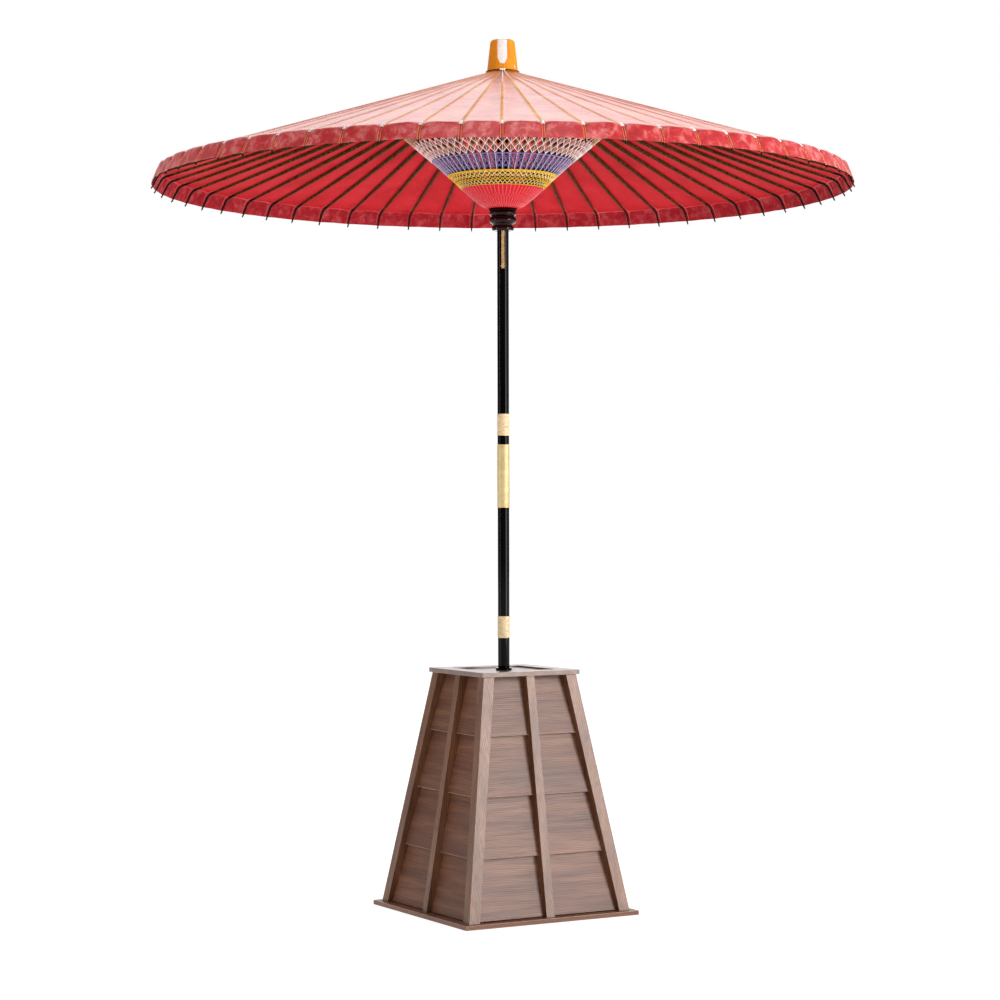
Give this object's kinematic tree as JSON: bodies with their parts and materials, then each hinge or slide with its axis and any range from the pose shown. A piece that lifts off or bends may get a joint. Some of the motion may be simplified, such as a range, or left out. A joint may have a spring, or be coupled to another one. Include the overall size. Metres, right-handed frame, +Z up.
{
  "type": "oil paper umbrella",
  "caption": "Large red oil paper outdoor umbrella with thread-laced ribs, on a two-part pole in a clapboard wooden stand; it opens and closes.",
  "frame": {"origin": "centre of the bottom plate's underside, on the ground", "axes": "+Z up along the pole; -Y and +X are faces of the square stand, and rib 01 lies over +X"},
  "size_m": [1.8064, 1.8064, 2.245],
  "materials": {
    "stained_wood": "satin",
    "board_wood": "satin",
    "black_metal": "gloss",
    "steel_tube": "brushed",
    "cast_iron": "rough",
    "brass": "satin",
    "black_lacquer": "gloss",
    "gilt_metal": "satin",
    "rattan": "matte",
    "bamboo": "satin",
    "turned_wood": "satin",
    "red_thread": "matte",
    "orange_paper": "satin",
    "pale_core": "matte",
    "binding_cord": "matte",
    "red_paper": "satin",
    "dark_bamboo": "satin",
    "coloured_thread": "matte",
    "red_black_lacquer": "gloss"
  },
  "bodies": {
    "stand": {"bottom_plate": "stained_wood", "corner_posts": "stained_wood", "centre_stiles": "stained_wood", "clapboards_front": "board_wood", "clapboards_right": "board_wood", "clapboards_back": "board_wood", "clapboards_left": "board_wood", "top_frame": "stained_wood", "top_panel": "board_wood", "pole_collar": "black_metal", "socket_tube": "steel_tube", "ballast_block": "cast_iron", "post_screws": "brass"},
    "pole_foot": {"pole_foot": "brass"},
    "lower_pole": {"lower_pole": "black_lacquer", "joint_sleeve": "gilt_metal", "lower_rattan": "rattan"},
    "upper_pole": {"upper_pole": "black_lacquer", "upper_rattan": "rattan", "latch_pin": "bamboo", "hub": "turned_wood", "hub_thread": "red_thread", "cap": "orange_paper", "cap_core": "pale_core", "cap_binding": "binding_cord", "canopy": "red_paper", "side_ribs": "dark_bamboo", "side_struts": "dark_bamboo", "thread_web": "coloured_thread"},
    "latch_strip": {"latch_strip": "bamboo"},
    "runner": {"runner": "red_black_lacquer", "runner_thread": "red_thread"},
    "rib_01": {"rib_01": "dark_bamboo"},
    "strut_01": {"strut_01": "dark_bamboo"},
    "rib_02": {"rib_02": "dark_bamboo"},
    "strut_02": {"strut_02": "dark_bamboo"},
    "rib_03": {"rib_03": "dark_bamboo"},
    "strut_03": {"strut_03": "dark_bamboo"},
    "rib_04": {"rib_04": "dark_bamboo"},
    "strut_04": {"strut_04": "dark_bamboo"},
    "rib_05": {"rib_05": "dark_bamboo"},
    "strut_05": {"strut_05": "dark_bamboo"},
    "rib_06": {"rib_06": "dark_bamboo"},
    "strut_06": {"strut_06": "dark_bamboo"},
    "rib_07": {"rib_07": "dark_bamboo"},
    "strut_07": {"strut_07": "dark_bamboo"},
    "rib_08": {"rib_08": "dark_bamboo"},
    "strut_08": {"strut_08": "dark_bamboo"},
    "rib_09": {"rib_09": "dark_bamboo"},
    "strut_09": {"strut_09": "dark_bamboo"},
    "rib_10": {"rib_10": "dark_bamboo"},
    "strut_10": {"strut_10": "dark_bamboo"},
    "rib_11": {"rib_11": "dark_bamboo"},
    "strut_11": {"strut_11": "dark_bamboo"},
    "rib_12": {"rib_12": "dark_bamboo"},
    "strut_12": {"strut_12": "dark_bamboo"}
  },
  "joints": [
    {"name": "pole_lift", "type": "slide", "parent": "stand", "child": "pole_foot", "axis": [0, 0, 1], "range_m": [0, 0.62]},
    {"name": "pole_turn", "type": "hinge", "parent": "pole_foot", "child": "lower_pole", "pos_m": [0, 0, 0.03], "axis": [0, 0, 1], "continuous": true},
    {"name": "pole_split", "type": "slide", "parent": "lower_pole", "child": "upper_pole", "axis": [0, 0, 1], "range_m": [0, 0.09]},
    {"name": "runner_slide", "type": "slide", "parent": "upper_pole", "child": "runner", "axis": [0, 0, 1], "range_m": [-0.3545, 0], "deforming": ["canopy", "side_ribs", "side_struts", "thread_web", "runner_thread"]},
    {"name": "latch_press", "type": "hinge", "parent": "upper_pole", "child": "latch_strip", "pos_m": [-0.00695, -0.01204, 1.66043], "axis": [-0.866, 0.5, 0], "range_deg": [0, 2.64], "stiffness_Nm_per_rad": 0.8},
    {"name": "rib_01_fold", "type": "hinge", "parent": "upper_pole", "child": "rib_01", "pos_m": [0.03, 0, 2.15285], "axis": [0, 1, 0], "range_deg": [-0.5, 68.1]},
    {"name": "strut_01_fold", "type": "hinge", "parent": "rib_01", "child": "strut_01", "pos_m": [0.328, 0, 2.05946], "axis": [0, 1, 0], "range_deg": [-114.49, 0.5]},
    {"name": "rib_02_fold", "type": "hinge", "parent": "upper_pole", "child": "rib_02", "pos_m": [0.02598, 0.015, 2.15285], "axis": [-0.5, 0.866, 0], "range_deg": [-0.5, 68.1]},
    {"name": "strut_02_fold", "type": "hinge", "parent": "rib_02", "child": "strut_02", "pos_m": [0.28406, 0.164, 2.05946], "axis": [-0.5, 0.866, 0], "range_deg": [-114.49, 0.5]},
    {"name": "rib_03_fold", "type": "hinge", "parent": "upper_pole", "child": "rib_03", "pos_m": [0.015, 0.02598, 2.15285], "axis": [-0.866, 0.5, 0], "range_deg": [-0.5, 68.1]},
    {"name": "strut_03_fold", "type": "hinge", "parent": "rib_03", "child": "strut_03", "pos_m": [0.164, 0.28406, 2.05946], "axis": [-0.866, 0.5, 0], "range_deg": [-114.49, 0.5]},
    {"name": "rib_04_fold", "type": "hinge", "parent": "upper_pole", "child": "rib_04", "pos_m": [0, 0.03, 2.15285], "axis": [-1, 0, 0], "range_deg": [-0.5, 68.1]},
    {"name": "strut_04_fold", "type": "hinge", "parent": "rib_04", "child": "strut_04", "pos_m": [0, 0.328, 2.05946], "axis": [-1, 0, 0], "range_deg": [-114.49, 0.5]},
    {"name": "rib_05_fold", "type": "hinge", "parent": "upper_pole", "child": "rib_05", "pos_m": [-0.015, 0.02598, 2.15285], "axis": [-0.866, -0.5, 0], "range_deg": [-0.5, 68.1]},
    {"name": "strut_05_fold", "type": "hinge", "parent": "rib_05", "child": "strut_05", "pos_m": [-0.164, 0.28406, 2.05946], "axis": [-0.866, -0.5, 0], "range_deg": [-114.49, 0.5]},
    {"name": "rib_06_fold", "type": "hinge", "parent": "upper_pole", "child": "rib_06", "pos_m": [-0.02598, 0.015, 2.15285], "axis": [-0.5, -0.866, 0], "range_deg": [-0.5, 68.1]},
    {"name": "strut_06_fold", "type": "hinge", "parent": "rib_06", "child": "strut_06", "pos_m": [-0.28406, 0.164, 2.05946], "axis": [-0.5, -0.866, 0], "range_deg": [-114.49, 0.5]},
    {"name": "rib_07_fold", "type": "hinge", "parent": "upper_pole", "child": "rib_07", "pos_m": [-0.03, 0, 2.15285], "axis": [0, -1, 0], "range_deg": [-0.5, 68.1]},
    {"name": "strut_07_fold", "type": "hinge", "parent": "rib_07", "child": "strut_07", "pos_m": [-0.328, 0, 2.05946], "axis": [0, -1, 0], "range_deg": [-114.49, 0.5]},
    {"name": "rib_08_fold", "type": "hinge", "parent": "upper_pole", "child": "rib_08", "pos_m": [-0.02598, -0.015, 2.15285], "axis": [0.5, -0.866, 0], "range_deg": [-0.5, 68.1]},
    {"name": "strut_08_fold", "type": "hinge", "parent": "rib_08", "child": "strut_08", "pos_m": [-0.28406, -0.164, 2.05946], "axis": [0.5, -0.866, 0], "range_deg": [-114.49, 0.5]},
    {"name": "rib_09_fold", "type": "hinge", "parent": "upper_pole", "child": "rib_09", "pos_m": [-0.015, -0.02598, 2.15285], "axis": [0.866, -0.5, 0], "range_deg": [-0.5, 68.1]},
    {"name": "strut_09_fold", "type": "hinge", "parent": "rib_09", "child": "strut_09", "pos_m": [-0.164, -0.28406, 2.05946], "axis": [0.866, -0.5, 0], "range_deg": [-114.49, 0.5]},
    {"name": "rib_10_fold", "type": "hinge", "parent": "upper_pole", "child": "rib_10", "pos_m": [0, -0.03, 2.15285], "axis": [1, 0, 0], "range_deg": [-0.5, 68.1]},
    {"name": "strut_10_fold", "type": "hinge", "parent": "rib_10", "child": "strut_10", "pos_m": [0, -0.328, 2.05946], "axis": [1, 0, 0], "range_deg": [-114.49, 0.5]},
    {"name": "rib_11_fold", "type": "hinge", "parent": "upper_pole", "child": "rib_11", "pos_m": [0.015, -0.02598, 2.15285], "axis": [0.866, 0.5, 0], "range_deg": [-0.5, 68.1]},
    {"name": "strut_11_fold", "type": "hinge", "parent": "rib_11", "child": "strut_11", "pos_m": [0.164, -0.28406, 2.05946], "axis": [0.866, 0.5, 0], "range_deg": [-114.49, 0.5]},
    {"name": "rib_12_fold", "type": "hinge", "parent": "upper_pole", "child": "rib_12", "pos_m": [0.02598, -0.015, 2.15285], "axis": [0.5, 0.866, 0], "range_deg": [-0.5, 68.1]},
    {"name": "strut_12_fold", "type": "hinge", "parent": "rib_12", "child": "strut_12", "pos_m": [0.28406, -0.164, 2.05946], "axis": [0.5, 0.866, 0], "range_deg": [-114.49, 0.5]}
  ],
  "couplings": [
    {"joint": "rib_01_fold", "follows": "runner_slide", "rad_per_m": -3.3282},
    {"joint": "strut_01_fold", "follows": "runner_slide", "rad_per_m": 5.6123},
    {"joint": "rib_02_fold", "follows": "runner_slide", "rad_per_m": -3.3282},
    {"joint": "strut_02_fold", "follows": "runner_slide", "rad_per_m": 5.6123},
    {"joint": "rib_03_fold", "follows": "runner_slide", "rad_per_m": -3.3282},
    {"joint": "strut_03_fold", "follows": "runner_slide", "rad_per_m": 5.6123},
    {"joint": "rib_04_fold", "follows": "runner_slide", "rad_per_m": -3.3282},
    {"joint": "strut_04_fold", "follows": "runner_slide", "rad_per_m": 5.6123},
    {"joint": "rib_05_fold", "follows": "runner_slide", "rad_per_m": -3.3282},
    {"joint": "strut_05_fold", "follows": "runner_slide", "rad_per_m": 5.6123},
    {"joint": "rib_06_fold", "follows": "runner_slide", "rad_per_m": -3.3282},
    {"joint": "strut_06_fold", "follows": "runner_slide", "rad_per_m": 5.6123},
    {"joint": "rib_07_fold", "follows": "runner_slide", "rad_per_m": -3.3282},
    {"joint": "strut_07_fold", "follows": "runner_slide", "rad_per_m": 5.6123},
    {"joint": "rib_08_fold", "follows": "runner_slide", "rad_per_m": -3.3282},
    {"joint": "strut_08_fold", "follows": "runner_slide", "rad_per_m": 5.6123},
    {"joint": "rib_09_fold", "follows": "runner_slide", "rad_per_m": -3.3282},
    {"joint": "strut_09_fold", "follows": "runner_slide", "rad_per_m": 5.6123},
    {"joint": "rib_10_fold", "follows": "runner_slide", "rad_per_m": -3.3282},
    {"joint": "strut_10_fold", "follows": "runner_slide", "rad_per_m": 5.6123},
    {"joint": "rib_11_fold", "follows": "runner_slide", "rad_per_m": -3.3282},
    {"joint": "strut_11_fold", "follows": "runner_slide", "rad_per_m": 5.6123},
    {"joint": "rib_12_fold", "follows": "runner_slide", "rad_per_m": -3.3282},
    {"joint": "strut_12_fold", "follows": "runner_slide", "rad_per_m": 5.6123}
  ]
}
